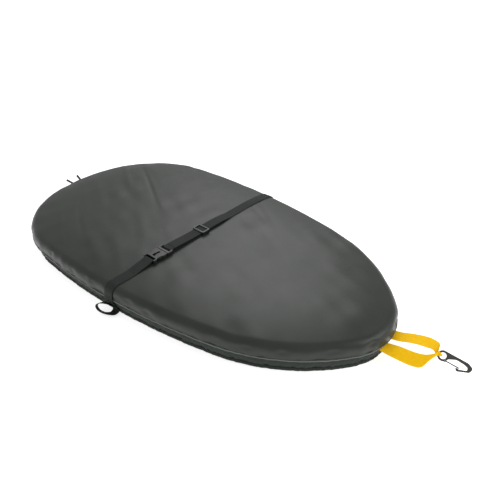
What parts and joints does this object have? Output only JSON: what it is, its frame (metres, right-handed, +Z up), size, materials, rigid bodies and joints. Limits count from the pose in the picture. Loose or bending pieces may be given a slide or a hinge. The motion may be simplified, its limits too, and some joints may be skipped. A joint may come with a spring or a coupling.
{
  "type": "kayak cockpit cover",
  "caption": "Egg-shaped coated-fabric cover for a kayak cockpit, with an elasticated hem, a buckled and adjustable strap across it, a pull loop, and a grab loop with a snap hook.",
  "frame": {"origin": "middle of the cover's length and width, on the plane that the hem rests on", "axes": "+X to the nose (the grab-loop end), +Y to the side without the buckle, +Z up"},
  "size_m": [1.0972, 0.5246, 0.0793],
  "materials": {
    "coated_fabric": "satin coated weave",
    "band_fabric": "matt weave",
    "piping": "matt woven tape",
    "cord_sheath": "braided sheath",
    "black_webbing": "matt woven webbing",
    "yellow_webbing": "bright woven webbing",
    "black_acetal": "moulded, satin",
    "grey_acetal": "moulded, satin",
    "thread": "bonded thread"
  },
  "bodies": {
    "cover": {"deck_panel": "coated_fabric", "rim_band": "band_fabric", "seam_piping": "piping", "hem_tunnel": "band_fabric", "shock_cord": "cord_sheath", "cord_knot": "cord_sheath", "cord_tail_left": "cord_sheath", "cord_tail_right": "cord_sheath", "strap_near": "black_webbing", "strap_far": "black_webbing", "strap_adjuster_upper": "black_webbing", "buckle_socket": "black_acetal", "bar_tacks": "thread"},
    "plug": {"buckle_plug": "black_acetal", "strap_fold": "black_webbing"},
    "prong_left": {"prong_left": "black_acetal"},
    "prong_right": {"prong_right": "black_acetal"},
    "slider": {"tri_glide": "black_acetal", "strap_return": "black_webbing"},
    "grab_loop": {"grab_loop": "yellow_webbing"},
    "snap_hook": {"snap_hook_body": "grey_acetal"},
    "hook_gate": {"snap_hook_gate": "grey_acetal"},
    "pull_loop": {"pull_loop": "black_webbing"}
  },
  "joints": [
    {"name": "buckle_release", "type": "slide", "parent": "cover", "child": "plug", "axis": [0, 1, 0], "range_m": [0, 0.035], "deforming": ["strap_adjuster_upper", "strap_return", "prong_left", "prong_right"]},
    {"name": "prong_left_squeeze", "type": "hinge", "parent": "plug", "child": "prong_left", "pos_m": [0.0096, -0.1134, 0.0748], "axis": [0, 0, -1], "range_deg": [0, 11], "stiffness_Nm_per_rad": 0.05},
    {"name": "prong_right_squeeze", "type": "hinge", "parent": "plug", "child": "prong_right", "pos_m": [-0.0096, -0.1134, 0.0748], "axis": [0, 0, 1], "range_deg": [0, 11], "stiffness_Nm_per_rad": 0.05},
    {"name": "slider_travel", "type": "slide", "parent": "cover", "child": "slider", "axis": [0, 1, 0], "range_m": [0, 0.035], "deforming": ["strap_return"]},
    {"name": "grab_loop_fold", "type": "hinge", "parent": "cover", "child": "grab_loop", "pos_m": [0.457, 0, 0.03], "axis": [0, 1, 0], "range_deg": [-35, 8], "stiffness_Nm_per_rad": 0.4},
    {"name": "snap_hook_swing", "type": "hinge", "parent": "grab_loop", "child": "snap_hook", "pos_m": [0.5422, 0.023, 0.0335], "axis": [0.1361, -0.7073, 0.6937], "range_deg": [-35, 35]},
    {"name": "gate_open", "type": "hinge", "parent": "snap_hook", "child": "hook_gate", "pos_m": [0.5489, 0.01952, 0.02864], "axis": [0.1361, -0.7073, 0.6937], "range_deg": [0, 17], "stiffness_Nm_per_rad": 0.02},
    {"name": "pull_loop_swing", "type": "hinge", "parent": "cover", "child": "pull_loop", "pos_m": [0, -0.2445, 0.0034], "axis": [1, 0, 0], "range_deg": [0, 12], "stiffness_Nm_per_rad": 0.05}
  ]
}
